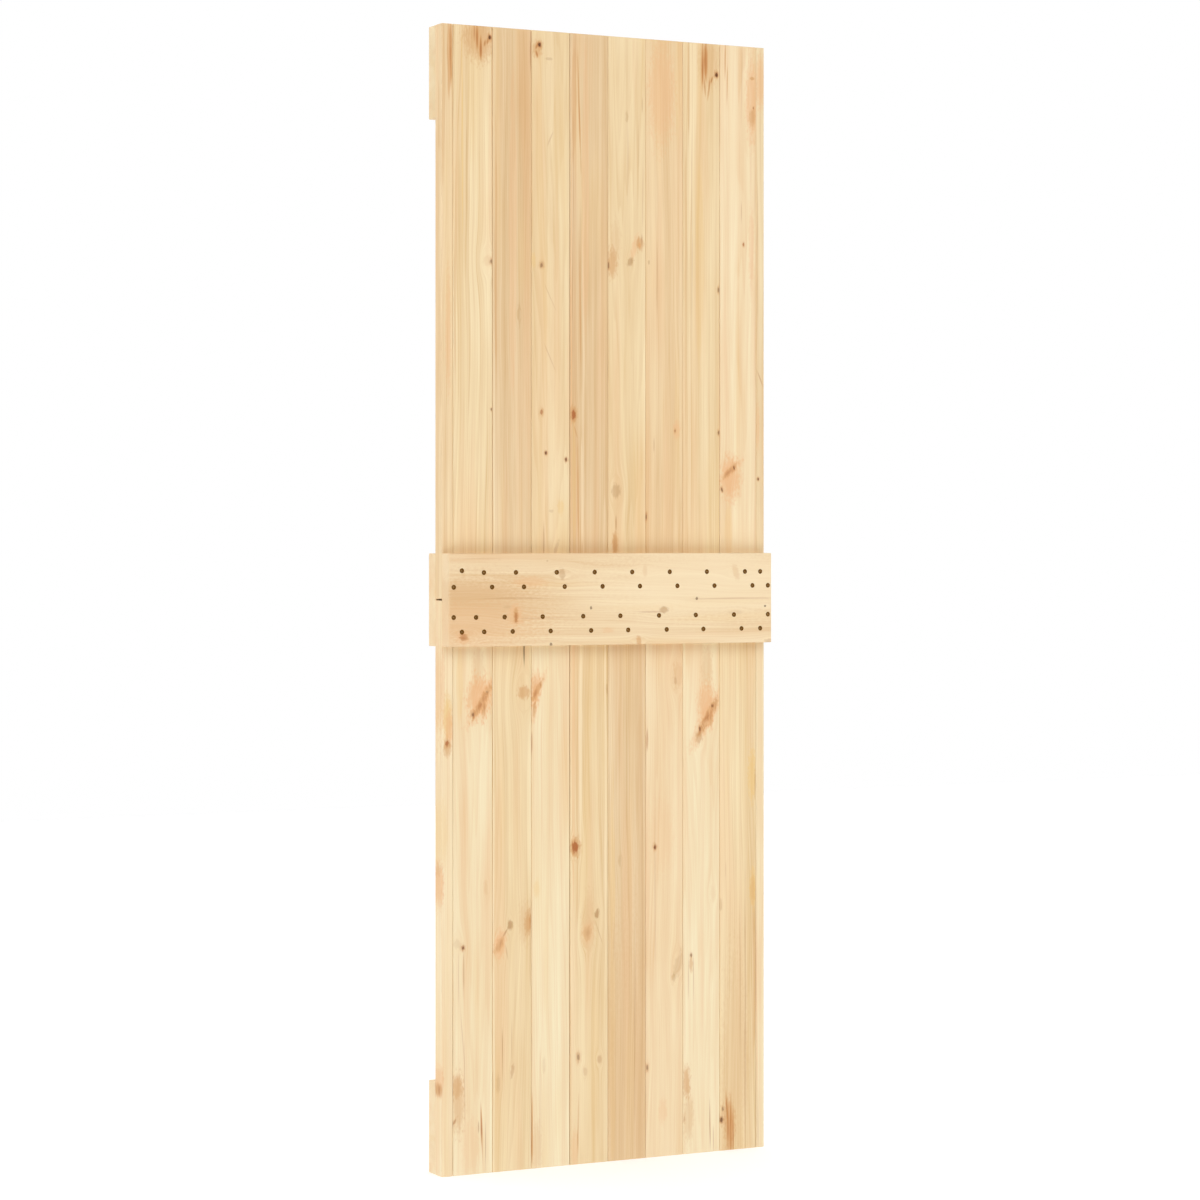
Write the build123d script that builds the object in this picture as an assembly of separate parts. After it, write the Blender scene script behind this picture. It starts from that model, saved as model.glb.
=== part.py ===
from build123d import *
from math import atan2, cos, degrees, pi
import os

# A sliding door leaf of natural pine. Tongue and groove boards stand upright in two
# half height sets, and rails lie across them: one at the top, one at the bottom and
# one at mid height on the railed side, and one more at mid height on the other side.
# There two rows of countersunk screws for each set go through the rail and the boards
# into the rail behind them, so the two middle rails hold the halves of the door together.
#
# Frame: the origin is in the middle of the top rail's outer face, where hangers go.
# +X runs along the width, +Y points out of the railed side and +Z is up.

# The whole leaf, in millimetres
door_height = 2100.0
door_width = 680.0

# Rails
rail_height = 170.0
rail_thickness = 28.0
rail_arris = 1.2

# Boards
board_thickness = 28.0
board_cover = 80.0
whole_boards = 8
left_strip_cover = 22.5
board_arris = 1.6
joint_gap = 0.5
halves_gap = 2.0

# Tongue and groove
tongue_reach = 8.0
tongue_root = 8.0
tongue_tip = 7.0
groove_depth = 9.0
groove_ease = 0.2

# Wood screws, 4.5 by 70, heads just under the face, twelve sided to keep them light
screw_sides = 12
screw_length = 70.0
screw_radius = 2.25
head_radius = 4.5
head_sink = 0.5
tip_length = 6.0
tip_radius = 0.4
bore_ease = 0.1

# Screw pattern of the middle rail, measured from the door's left side.
# Each pair steps one row down and pair_step to the right.
pair_step = 16.5
row_step = 26.5
first_row = 27.5
pattern_drop = 4.0
upper_pairs = (72.0, 137.0, 221.0, 300.0, 379.0, 459.0, 539.0, 622.0)
lower_pairs = (56.0, 114.0, 192.0, 276.0, 354.0, 436.0, 515.0, 598.0)
left_outer_screw = 11.0
left_inner_screw = 27.5
right_outer_screw = 7.5
right_inner_screw = 24.5
stray_rise = 3.5

# Places that follow from the sizes above
left_side = -door_width / 2
right_side = door_width / 2
door_top = rail_height / 2
door_bottom = door_top - door_height
middle_height = (door_top + door_bottom) / 2
back_rail_y = -rail_thickness / 2
panel_back = -rail_thickness
panel_y = panel_back - board_thickness / 2
panel_front = panel_back - board_thickness
front_rail_y = panel_front - rail_thickness / 2
front_face = panel_front - rail_thickness


def rail(y, z):
    """One rail as wide as the door, all its edges eased."""
    plank = Box(door_width, rail_thickness, rail_height)
    plank = chamfer(plank.edges(), rail_arris)
    return Pos(0, y, z) * plank


def tongue_section():
    """Section of a tongue that grows to the right out of a shoulder at x = 0."""
    inside = board_thickness / 4
    half_root = tongue_root / 2
    half_tip = tongue_tip / 2
    wedge = Polygon((0, half_root), (0, -half_root), (tongue_reach, -half_tip),
                    (tongue_reach, half_tip), align=None)
    return wedge + Pos(-inside / 2) * Rectangle(inside, tongue_root)


def groove_section():
    """Section of a groove that goes to the right into a shoulder at x = 0."""
    half_mouth = tongue_root / 2 + groove_ease
    half_floor = tongue_tip / 2 + groove_ease
    return Polygon((0, half_mouth), (0, -half_mouth), (groove_depth, -half_floor),
                   (groove_depth, half_floor), align=None)


def board(left, right, low, high, tongue, groove):
    """An upright board between two shoulders, its tongue on the right, arrises eased."""
    width = right - left
    section = chamfer(Rectangle(width, board_thickness).vertices(), board_arris)
    if tongue:
        section += Pos(width / 2) * tongue_section()
    if groove:
        section -= Pos(-width / 2) * groove_section()
    return Pos((left + right) / 2, panel_y, low) * extrude(section, high - low)


def board_set(half, low, high):
    """The ten boards of one half: a ripped strip at each side and whole boards between."""
    first_joint = left_side + left_strip_cover
    last_joint = first_joint + whole_boards * board_cover
    half_gap = joint_gap / 2
    boards = {half + "_left_strip": board(left_side, first_joint - half_gap, low, high, True, False)}
    for number in range(whole_boards):
        left = first_joint + number * board_cover + half_gap
        right = left + board_cover - joint_gap
        boards[half + "_board_" + str(number + 1)] = board(left, right, low, high, True, True)
    boards[half + "_right_strip"] = board(last_joint + half_gap, right_side, low, high, False, True)
    return boards


def upper_screw_places():
    """Screws of the upper boards as (x, z), each pair stepping down towards the middle."""
    near = middle_height - pattern_drop + first_row
    far = near + row_step
    places = [(left_side + left_outer_screw, near), (left_side + left_inner_screw, far + stray_rise)]
    for start in upper_pairs:
        places.append((left_side + start, far))
        places.append((left_side + start + pair_step, near))
    places.append((right_side - right_inner_screw, far))
    places.append((right_side - right_outer_screw, near))
    return places


def lower_screw_places():
    """Screws of the lower boards as (x, z), each pair stepping down from the middle."""
    near = middle_height - pattern_drop - first_row
    far = near - row_step
    places = [(left_side + left_outer_screw, near), (left_side + left_inner_screw, far)]
    for start in lower_pairs:
        places.append((left_side + start, near))
        places.append((left_side + start + pair_step, far))
    places.append((right_side - right_outer_screw, near))
    places.append((right_side - right_inner_screw, far))
    return places


def turned_form(stations):
    """A many sided turned form along +Y through (depth, radius) stations."""
    form = Part()
    for (start, wide), (end, narrow) in zip(stations, stations[1:]):
        shrink = (wide - narrow) * cos(pi / screw_sides)
        slope = degrees(atan2(shrink, end - start))
        form += Pos(0, 0, start) * extrude(RegularPolygon(wide, screw_sides), end - start, taper=slope)
    return Rot(X=-90) * form


def screw():
    """A countersunk screw with its head at y = 0 and its thread left plain."""
    head_depth = head_radius - screw_radius
    tip_start = screw_length - tip_length
    return turned_form([(0, head_radius), (head_depth, screw_radius),
                        (tip_start, screw_radius), (screw_length, tip_radius)])


def screw_bore():
    """What drill and countersink take out of the rails and boards, from the face at y = 0."""
    bore_radius = screw_radius + bore_ease
    mouth_radius = head_radius + head_sink
    mouth_depth = mouth_radius - bore_radius
    bore_end = head_sink + screw_length + bore_ease
    return turned_form([(0, mouth_radius), (mouth_depth, bore_radius), (bore_end, bore_radius)])


def screw_set(places):
    """The screws of one half of the door, heads just under the rail's face."""
    one = screw()
    return Compound([Pos(x, front_face + head_sink, z) * one for x, z in places])


def drill(piece, places):
    """A rail or board with the bores of those screws that meet it."""
    extent = piece.bounding_box()
    low = extent.min.X - head_radius
    high = extent.max.X + head_radius
    one = screw_bore()
    return piece - [Pos(x, front_face, z) * one for x, z in places if low < x < high]


def door():
    """Every piece of the leaf by name."""
    upper_low = middle_height + halves_gap / 2
    lower_high = middle_height - halves_gap / 2
    upper_places = upper_screw_places()
    lower_places = lower_screw_places()
    all_places = upper_places + lower_places
    pieces = {
        "top_rail": rail(back_rail_y, door_top - rail_height / 2),
        "bottom_rail": rail(back_rail_y, door_bottom + rail_height / 2),
        "middle_rail_back": drill(rail(back_rail_y, middle_height), all_places),
        "middle_rail_front": drill(rail(front_rail_y, middle_height), all_places),
        "upper_screws": screw_set(upper_places),
        "lower_screws": screw_set(lower_places),
    }
    for name, piece in board_set("upper", upper_low, door_top).items():
        pieces[name] = drill(piece, upper_places)
    for name, piece in board_set("lower", door_bottom, lower_high).items():
        pieces[name] = drill(piece, lower_places)
    return pieces


os.makedirs("parts", exist_ok=True)
for name, piece in door().items():
    export_step(piece, "parts/" + name + ".step")
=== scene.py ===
"""Dresses the frame of a boarded sliding door leaf with planed pine, screws and a plain studio."""

import logging
import math
import random
from dataclasses import dataclass
from enum import Enum
from typing import Callable, Optional, Sequence, Union

import bmesh
import bpy
from mathutils import Matrix, Vector


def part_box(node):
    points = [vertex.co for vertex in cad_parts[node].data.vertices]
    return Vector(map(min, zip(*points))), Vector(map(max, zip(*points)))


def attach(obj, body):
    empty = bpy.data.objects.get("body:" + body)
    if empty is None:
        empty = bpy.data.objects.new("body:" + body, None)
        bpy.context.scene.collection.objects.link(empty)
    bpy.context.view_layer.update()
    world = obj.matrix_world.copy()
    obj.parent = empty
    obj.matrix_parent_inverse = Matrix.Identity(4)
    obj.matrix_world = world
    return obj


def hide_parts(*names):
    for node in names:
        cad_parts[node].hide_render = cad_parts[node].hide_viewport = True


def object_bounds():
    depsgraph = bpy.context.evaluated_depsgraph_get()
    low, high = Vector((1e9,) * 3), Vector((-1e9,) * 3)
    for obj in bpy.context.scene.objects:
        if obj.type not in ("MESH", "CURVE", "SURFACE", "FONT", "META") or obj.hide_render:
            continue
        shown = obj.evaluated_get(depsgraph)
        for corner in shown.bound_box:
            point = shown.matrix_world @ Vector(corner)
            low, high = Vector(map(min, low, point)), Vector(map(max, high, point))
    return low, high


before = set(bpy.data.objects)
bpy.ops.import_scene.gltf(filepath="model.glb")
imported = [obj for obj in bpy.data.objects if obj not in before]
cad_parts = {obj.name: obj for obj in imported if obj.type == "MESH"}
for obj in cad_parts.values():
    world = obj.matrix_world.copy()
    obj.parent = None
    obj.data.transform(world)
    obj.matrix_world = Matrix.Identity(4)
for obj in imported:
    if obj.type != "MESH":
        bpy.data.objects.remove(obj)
cad_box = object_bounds()

LOG = logging.getLogger("door")
BODY = "root"
MM = 0.001
TOUCH = 0.01

Pair = tuple[float, float]
Triple = tuple[float, float, float]
Edges = list[bmesh.types.BMEdge]
Verts = list[bmesh.types.BMVert]
Faces = list[bmesh.types.BMFace]


def to_linear(colour: Triple) -> tuple[float, float, float, float]:
    """Turns a colour as seen, in 0 to 255, into the linear one that a shader takes.

    Args:
        colour: red, green and blue as a picture shows them.

    Returns:
        Linear red, green, blue and an alpha of 1.
    """
    parts = [max(0.0, min(255.0, part)) / 255 for part in colour]
    low, high = 0.04045, 12.92
    red, green, blue = [part / high if part <= low else ((part + 0.055) / 1.055) ** 2.4 for part in parts]
    return red, green, blue, 1.0


def near(*gaps: float) -> bool:
    """Says whether all these distances in millimetres come to nothing."""
    return max(abs(gap) for gap in gaps) < TOUCH


def put(name: str, data: bpy.types.ID) -> bpy.types.Object:
    """Puts a new object into the scene.

    Args:
        name: the object's name.
        data: its mesh, light or camera.

    Returns:
        The new object.
    """
    made = bpy.data.objects.new(name, data)
    bpy.context.scene.collection.objects.link(made)
    return made


class Slot(Enum):
    """Material slots of the record."""

    BOARD = "board_pine"
    RAIL = "rail_pine"
    SCREW = "screw_steel"


class Tone(Enum):
    """Ground colours of pine, from the palest sapwood to the darkest board."""

    IVORY = (250.0, 223.0, 181.0)
    CREAM = (248.0, 218.0, 175.0)
    BISCUIT = (243.0, 214.0, 171.0)
    WHEAT = (239.0, 214.0, 170.0)
    STRAW = (240.0, 212.0, 165.0)
    HONEY = (237.0, 205.0, 158.0)
    TAN = (232.0, 200.0, 154.0)


class Tint(Enum):
    """Colours that marks give the wood, from sapwood to bark; MILK also paints highlights along some board
    edges.
    """

    MILK = (252.0, 230.0, 191.0)
    PEACH = (238.0, 184.0, 132.0)
    GOLD = (239.0, 200.0, 132.0)
    FLAME = (232.0, 152.0, 70.0)
    TAWNY = (221.0, 176.0, 124.0)
    EARTH = (186.0, 138.0, 88.0)
    AMBER = (211.0, 149.0, 86.0)
    RUST = (180.0, 108.0, 58.0)
    BARK = (92.0, 52.0, 18.0)


class Sawn(Enum):
    """How a piece lay in the log: the pith's offset across and in depth from its middle, in mm."""

    QUARTER_LEFT = (-130.0, 18.0)
    QUARTER_RIGHT = (125.0, -14.0)
    RIFT_LEFT = (-75.0, 66.0)
    RIFT_RIGHT = (70.0, 60.0)
    FLAT = (6.0, 58.0)


class Scale(Enum):
    """Scales of noise in the wood: seed, size across, in depth and along in mm, and finer layers."""

    DRIFT = (0, (150, 150, 760), 1)
    RIPPLE = (1, (34, 34, 260), 1)
    BANDS = (2, (11, 15, 1100), 2)
    FIBRE = (3, (1.4, 1.4, 90), 3)
    BROAD = (4, (60, 60, 420), 2)
    FLUSH = (5, (34, 40, 520), 1)
    SHEEN = (6, (26, 40, 420), 1)
    YEARS = (7, (30, 30, 1300), 2)
    FRAY = (8, (3.5, 5, 8), 2)
    WISP = (9, (2.4, 5, 80), 2)
    SWAY = (10, (70, 70, 260), 1)
    RAG = (11, (5, 6, 50), 2)


@dataclass(frozen=True)
class Layer:
    """One layer of colour in a mark.

    It begins at outer and is full at inner, in multiples of the mark's size. Share says how much
    it covers there and streaky how much of it the fibres break up.
    """

    tint: Tint
    outer: float
    inner: float
    share: float
    streaky: float = 0.0


class Blemish(Enum):
    """Kinds of mark that pine can carry, each a few layers of colour from the ground up."""

    KNOT = (Layer(Tint.AMBER, 2.4, 1.0, 0.5, 0.3), Layer(Tint.RUST, 1.25, 0.7, 0.85))
    EYE = (Layer(Tint.AMBER, 3.2, 1.2, 0.5, 0.3), Layer(Tint.RUST, 1.9, 1.1, 0.6),
           Layer(Tint.BARK, 1.15, 0.7, 0.9))
    SPIKE = (Layer(Tint.PEACH, 2.2, 1.0, 0.5, 0.2), Layer(Tint.AMBER, 1.25, 0.8, 0.55, 0.3),
             Layer(Tint.RUST, 1.0, 0.2, 0.6, 0.9))
    SMUDGE = (Layer(Tint.EARTH, 1.45, 0.7, 0.6, 0.2),)
    GLOW = (Layer(Tint.PEACH, 1.25, 0.5, 0.8, 0.2),)
    STREAK = (Layer(Tint.AMBER, 1.2, 0.6, 0.8, 0.45), Layer(Tint.RUST, 0.9, 0.2, 0.65, 0.8))
    BAND = (Layer(Tint.TAWNY, 1.15, 0.75, 0.7, 0.25),)
    LINE = (Layer(Tint.RUST, 1.3, 0.5, 0.75, 0.3),)

    def __call__(self, across: float, along: float, width: float, length: float, force: float = 1.0,
                 tint: Optional[Tint] = None, lean: float = 0.0) -> "Mark":
        """Makes a mark of this kind, with the fields of Mark in their order."""
        return Mark(self, across, along, width, length, force, tint, lean)


@dataclass(frozen=True)
class Mark:
    """One mark in the wood, sizes in millimetres.

    Across is measured from the piece's middle, to the right on a board and down on a rail.
    Along is the height on a board and the place from the middle on a rail. Width and length are
    half sizes. A tint takes the place of the kind's own colours, and lean turns it, in degrees.
    """

    kind: Blemish
    across: float
    along: float
    width: float
    length: float
    force: float
    tint: Optional[Tint]
    lean: float

    def in_fibre(self) -> bool:
        """Says whether the mark follows the fibres."""
        return self.kind in (Blemish.STREAK, Blemish.BAND, Blemish.LINE)

    def turns_grain(self) -> bool:
        """Says whether the grain runs round the mark."""
        return self.kind in (Blemish.KNOT, Blemish.EYE, Blemish.SPIKE, Blemish.SMUDGE)

    def is_hard(self) -> bool:
        """Says whether the mark is a knot's hard wood."""
        return self.kind in (Blemish.KNOT, Blemish.EYE)


class Field:
    """A number that changes over a surface: one output of a shader node."""

    def __init__(self, tree: "Tree", socket: bpy.types.NodeSocket) -> None:
        """Keeps the socket and the tree that it belongs to."""
        self.tree = tree
        self.socket = socket

    def __add__(self, other: "Value") -> "Field":
        """Adds a number or another field."""
        return self.tree.maths("ADD", self, other)

    def __radd__(self, other: "Value") -> "Field":
        """Adds this field to a number."""
        return self.tree.maths("ADD", other, self)

    def __sub__(self, other: "Value") -> "Field":
        """Takes a number or another field away."""
        return self.tree.maths("SUBTRACT", self, other)

    def __rsub__(self, other: "Value") -> "Field":
        """Takes this field away from a number."""
        return self.tree.maths("SUBTRACT", other, self)

    def __mul__(self, other: "Value") -> "Field":
        """Multiplies by a number or another field."""
        return self.tree.maths("MULTIPLY", self, other)

    def __rmul__(self, other: "Value") -> "Field":
        """Multiplies a number by this field."""
        return self.tree.maths("MULTIPLY", other, self)

    def __truediv__(self, other: "Value") -> "Field":
        """Divides by a number or another field."""
        return self.tree.maths("DIVIDE", self, other)

    def __rtruediv__(self, other: "Value") -> "Field":
        """Divides a number by this field."""
        return self.tree.maths("DIVIDE", other, self)


Value = Union[Field, float]
Input = Union[Field, bpy.types.NodeSocket, float, Sequence[float]]
Inputs = dict[Union[int, str], Input]


class Tree:
    """The node tree of one material or world, and the few kinds of node that they use."""

    STRIDES = ((7.31, 91), (3.97, 83), (5.53, 97))
    ROUGHNESS = 0.55

    def __init__(self, name: str, world: bool = False) -> None:
        """Starts an empty material, or an empty world.

        Args:
            name: the material's or world's name.
            world: whether it is a world.
        """
        self.owner = bpy.data.worlds.new(name) if world else bpy.data.materials.new(name)
        self.owner.use_nodes = True
        self.graph = self.owner.node_tree
        self.graph.nodes.clear()

    def node(self, kind: str, settings: dict[str, object], inputs: Inputs) -> bpy.types.Node:
        """Adds one node.

        Args:
            kind: Blender's name of the node's type.
            settings: properties of the node, set before its sockets.
            inputs: values or links of its sockets, by number or name.

        Returns:
            The new node.
        """
        made = self.graph.nodes.new(kind)
        for name, setting in settings.items():
            setattr(made, name, setting)
        for key, value in inputs.items():
            if isinstance(value, Field):
                value = value.socket
            if isinstance(value, bpy.types.NodeSocket):
                self.graph.links.new(value, made.inputs[key])
            else:
                made.inputs[key].default_value = value
        return made

    def maths(self, operation: str, *values: Value) -> Field:
        """Adds a Math node over one, two or three values."""
        made = self.node("ShaderNodeMath", {"operation": operation}, dict(enumerate(values)))
        return Field(self, made.outputs[0])

    def ease(self, value: Value, start: float, end: float) -> Field:
        """Goes smoothly from 0 at start to 1 at end, whichever of them is larger.

        Args:
            value: what is eased.
            start: where it begins to rise from 0.
            end: where it reaches 1.

        Returns:
            The eased value.
        """
        inputs = {0: value, 1: start, 2: end, 3: 0.0, 4: 1.0}
        made = self.node("ShaderNodeMapRange", {"interpolation_type": "SMOOTHSTEP"}, inputs)
        return Field(self, made.outputs[0])

    def place(self, name: str) -> bpy.types.NodeSocket:
        """Gives the place on the surface in the coordinates of that name."""
        return self.node("ShaderNodeTexCoord", {}, {}).outputs[name]

    def noise(self, point: Input, size: Sequence[float], seed: float, detail: float) -> Field:
        """Makes smooth noise with its own size of grain along each axis.

        Args:
            point: the place on the piece, in millimetres.
            size: size of the noise across, in depth and along.
            seed: shifts the noise, so that no two layers are alike.
            detail: how many finer layers are added.

        Returns:
            Noise between 0 and 1, about 0.5 on average.
        """
        shift = [seed * stride % span for stride, span in self.STRIDES]
        scale = [1 / part for part in size]
        made = self.node("ShaderNodeMapping", {"vector_type": "POINT"}, {0: point, 1: shift, 3: scale})
        inputs = {"Vector": made.outputs[0], "Scale": 1.0, "Detail": detail, "Roughness": self.ROUGHNESS}
        noise = self.node("ShaderNodeTexNoise", {"noise_dimensions": "3D"}, inputs)
        return Field(self, noise.outputs[0])

    def split(self, point: Input) -> tuple[Field, ...]:
        """Splits a place into its three parts."""
        made = self.node("ShaderNodeSeparateXYZ", {}, {0: point})
        return tuple(Field(self, part) for part in made.outputs)

    def join(self, across: Value, deep: Value, along: Value) -> bpy.types.NodeSocket:
        """Joins three parts into a place."""
        return self.node("ShaderNodeCombineXYZ", {}, {0: across, 1: deep, 2: along}).outputs[0]

    def distance(self, point: Input, centre: Sequence[float], size: Sequence[float], lean: float) -> Field:
        """Measures how far a place lies from a mark's middle, in multiples of the mark's size.

        Args:
            point: the place on the piece.
            centre: middle of the mark.
            size: half sizes of the mark across, in depth and along.
            lean: how far the mark leans, in degrees.

        Returns:
            0 in the middle of the mark and 1 at its outline.
        """
        inputs = {0: point, 1: centre, 2: (0.0, math.radians(lean), 0.0), 3: size}
        own = self.node("ShaderNodeMapping", {"vector_type": "TEXTURE"}, inputs)
        made = self.node("ShaderNodeVectorMath", {"operation": "LENGTH"}, {0: own.outputs[0]})
        return Field(self, made.outputs["Value"])

    def blend(self, first: Input, second: Input, share: Value) -> bpy.types.NodeSocket:
        """Mixes two colours, with share saying how much of the second."""
        settings = {"data_type": "RGBA", "blend_type": "MIX", "clamp_factor": True}
        return self.node("ShaderNodeMix", settings, {0: share, 6: first, 7: second}).outputs[2]

    def bump(self, height: Value, strength: float, distance: float) -> bpy.types.NodeSocket:
        """Turns a height into a slight unevenness of the surface, distance in metres."""
        inputs = {"Strength": strength, "Distance": distance, "Height": height}
        return self.node("ShaderNodeBump", {}, inputs).outputs[0]

    def finish(self, inputs: Inputs) -> bpy.types.Material:
        """Closes the tree with a Principled shader.

        Args:
            inputs: the shader's inputs by name.

        Returns:
            The material.
        """
        shader = self.node("ShaderNodeBsdfPrincipled", {}, inputs)
        self.node("ShaderNodeOutputMaterial", {}, {0: shader.outputs[0]})
        return self.owner

    def any_look(self) -> Field:
        """Tells the rays that show something from those that only light it.

        Returns:
            1 for a ray from the camera, off a gloss or through glass, and 0 for any other.
        """
        seen = self.node("ShaderNodeLightPath", {}, {}).outputs
        either = self.maths("MAXIMUM", seen["Is Camera Ray"], seen["Is Glossy Ray"])
        return self.maths("MAXIMUM", either, seen["Is Transmission Ray"])


@dataclass(frozen=True)
class PineFinish:
    """Planed, unfinished pine, as one piece of it looks.

    The wood is a solid: rings round a pith, fibre and slow changes of tone fill the whole piece,
    so its faces, sides and ends show the same rings. Marks sit where the piece carries them.

    Drift, ripple and sway say how far the grain strays sideways, and uneven how far the rings do,
    in rings. Pale_reach is what the palest wood has more than the tone, and the deepest less.
    On the ends end_calm of the figure is left, and it grows over end_fade, in mm. A span is the
    part of a noise, or of a ring, over which a layer comes up. Raised says how far fibre, rings
    and knots stand out. The other values say how strongly each layer shows.
    """

    name: str
    tone: Tone
    sawn: Sawn
    seed: int
    centre: Triple
    half_length: float
    lying: bool
    marks: tuple[Mark, ...]
    figure: float
    ring_pitch: float = 3.4
    pith_tilt: float = 0.016
    drift: float = 26.0
    ripple: float = 4.0
    sway: float = 5.0
    uneven: float = 7.0
    fray: float = 1.2
    rag: float = 0.7
    bands: float = 1.7
    rings_show: float = 0.36
    rings_mean: float = 0.2
    fibre: float = 0.5
    broad: float = 0.9
    flush: float = 0.22
    flush_span: Pair = (0.48, 0.72)
    sheen: float = 0.2
    sheen_span: Pair = (0.52, 0.75)
    wisp_span: Pair = (0.36, 0.64)
    late_span: Pair = (0.2, 0.88)
    stop_span: Pair = (1.0, 0.93)
    end_fade: Pair = (0.5, 5.0)
    end_calm: float = 0.3
    faint_ring: float = 0.15
    mark_depth: float = 45.0
    swerve_reach: float = 1.5
    swerve_stretch: float = 2.2
    swerve_core: float = 0.8
    roughness: float = 0.6
    rough_fibre: float = 0.22
    smooth_knot: float = 0.15
    specular: float = 0.3
    raised: Triple = (0.6, 0.4, 0.6)
    bump_strength: float = 0.35
    bump_depth: float = 0.00012
    pale_reach: Triple = (13.0, 21.0, 27.0)

    def build(self) -> bpy.types.Material:
        """Builds the material.

        Returns:
            The material of this one piece.
        """
        tree = Tree(self.name)
        point = self.own_place(tree)
        across, deep, along = tree.split(point)
        drift = self.spread(tree, point, Scale.DRIFT, self.drift)
        bent = across + drift + self.spread(tree, point, Scale.RIPPLE, self.ripple)
        for mark in self.marks:
            if mark.turns_grain():
                bent = bent - self.swerve(tree, across, along, mark)
        grain = tree.join(bent, deep, along)
        outer, inner = [self.half_length - part for part in self.end_fade]
        inside = tree.ease(tree.maths("ABSOLUTE", along), outer, inner)
        rings = self.rings(tree, grain, bent, deep, along)
        fibre = (self.waves(tree, grain, Scale.FIBRE) - 0.5) * inside
        figure = self.spread(tree, grain, Scale.BANDS, self.bands)
        figure = figure + (rings - self.rings_mean) * self.rings_show
        figure = figure * (inside * (1 - self.end_calm) + self.end_calm) * self.figure
        depth = 0.5 + figure + fibre * self.fibre + self.spread(tree, point, Scale.BROAD, self.broad)
        colour = tree.blend(self.shade(1.0), self.shade(-1.0), depth)
        flush = tree.ease(self.waves(tree, point, Scale.FLUSH), *self.flush_span)
        colour = tree.blend(colour, to_linear(Tint.PEACH.value), flush * self.flush)
        sheen = tree.ease(self.waves(tree, point, Scale.SHEEN), *self.sheen_span)
        colour = tree.blend(colour, to_linear(Tint.GOLD.value), sheen * self.sheen)
        colour, hard = self.marked(tree, colour, point, grain)
        of_fibre, of_rings, of_knots = self.raised
        height = fibre * of_fibre + rings * of_rings + hard * of_knots
        return tree.finish({
            "Base Color": colour,
            "Roughness": self.roughness + fibre * self.rough_fibre - hard * self.smooth_knot,
            "Specular IOR Level": self.specular,
            "Normal": tree.bump(height, self.bump_strength, self.bump_depth),
        })

    def waves(self, tree: Tree, point: Input, scale: Scale) -> Field:
        """Makes one of the wood's scales of noise, between 0 and 1."""
        seed, size, detail = scale.value
        return tree.noise(point, size, self.seed + seed, detail)

    def spread(self, tree: Tree, point: Input, scale: Scale, strength: float) -> Field:
        """Makes one of the wood's scales of noise, round 0 and as strong as is asked."""
        return (self.waves(tree, point, scale) - 0.5) * strength

    def shade(self, side: float) -> tuple[float, float, float, float]:
        """Gives the pale end, side 1, or the deep end, side -1, of this piece's ground colour."""
        red, green, blue = [part + side * step for part, step in zip(self.tone.value, self.pale_reach)]
        return to_linear((red, green, blue))

    def own_place(self, tree: Tree) -> bpy.types.NodeSocket:
        """Measures the place on the piece.

        Args:
            tree: the material's tree.

        Returns:
            The place in mm from the piece's middle: across, in depth, along its grain.
        """
        turn = Matrix.Rotation(math.radians(-90 if self.lying else 0), 3, "Y")
        shift = turn @ -Vector(self.centre)
        inputs = {0: tree.place("Object"), 1: shift, 2: turn.to_euler(), 3: (1 / MM,) * 3}
        return tree.node("ShaderNodeMapping", {"vector_type": "POINT"}, inputs).outputs[0]

    def swerve(self, tree: Tree, across: Field, along: Field, mark: Mark) -> Field:
        """Bends the grain round a mark, as water flows round a post.

        Args:
            tree: the material's tree.
            across: place across the piece.
            along: place along the grain.
            mark: the mark in the grain's way.

        Returns:
            How far the grain gives way sideways, in mm.
        """
        size = min(mark.width, mark.length) * self.swerve_reach
        aside = across - mark.across
        onward = (along - self.own_along(mark)) / self.swerve_stretch
        square = aside * aside + onward * onward
        core = size * size * self.swerve_core
        return aside * (size * size) / tree.maths("MAXIMUM", square, core)

    def own_along(self, mark: Mark) -> float:
        """Measures a mark's place along the grain from the piece's middle."""
        return mark.along - self.centre[0 if self.lying else 2]

    def rings(self, tree: Tree, grain: Input, bent: Field, deep: Field, along: Field) -> Field:
        """Draws the late wood of each year's ring, pale to dark and then a sharp end.

        Args:
            tree: the material's tree.
            grain: place on the piece with the grain's bends taken out.
            bent: its part across.
            deep: its part in depth.
            along: its part along.

        Returns:
            0 in early wood, up to 1 in the darkest late wood.
        """
        pith_across, pith_deep = self.sawn.value
        side = bent - pith_across
        behind = deep + along * self.pith_tilt - pith_deep
        radius = tree.maths("SQRT", side * side + behind * behind)
        count = radius / self.ring_pitch + self.spread(tree, grain, Scale.YEARS, self.uneven)
        part = tree.maths("FRACT", count)
        year = tree.maths("FLOOR", count)
        vigour = tree.node("ShaderNodeTexWhiteNoise", {"noise_dimensions": "1D"}, {1: year + self.seed})
        late = tree.ease(part, *self.late_span) * tree.ease(part, *self.stop_span)
        return late * (self.faint_ring + (1 - self.faint_ring) * Field(tree, vigour.outputs[0]))

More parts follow.
